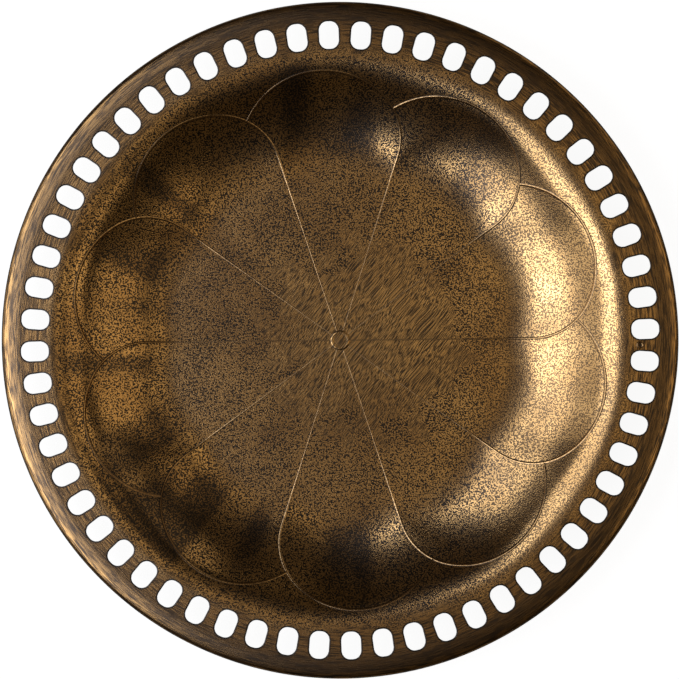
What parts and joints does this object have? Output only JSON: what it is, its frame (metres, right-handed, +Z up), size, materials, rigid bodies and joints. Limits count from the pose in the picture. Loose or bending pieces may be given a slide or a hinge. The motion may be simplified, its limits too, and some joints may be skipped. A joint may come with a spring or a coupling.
{
  "type": "tray",
  "caption": "Round shallow serving tray of antique brass with a petalled, scooped well, a pierced level flange and a rolled rim.",
  "frame": {"origin": "under the tray's centre, on the surface that the felt pads stand on", "axes": "+Z up along the tray's axis; +X along a line between two petals, 1.5 degrees clockwise of the first slot"},
  "size_m": [0.356, 0.356, 0.0274],
  "materials": {
    "antique_brass": "antique brown patina, stippled and brushed, satin",
    "wire_brass": "dull drawn wire",
    "rivet_brass": "antique brown patina, satin",
    "felt": "dense dark brown felt"
  },
  "bodies": {
    "root": {"tray_body": "antique_brass", "rim_wire": "wire_brass", "centre_rivet": "rivet_brass", "rivet_washer": "rivet_brass", "felt_pad_1": "felt", "felt_pad_2": "felt", "felt_pad_3": "felt", "felt_pad_4": "felt"}
  },
  "joints": []
}
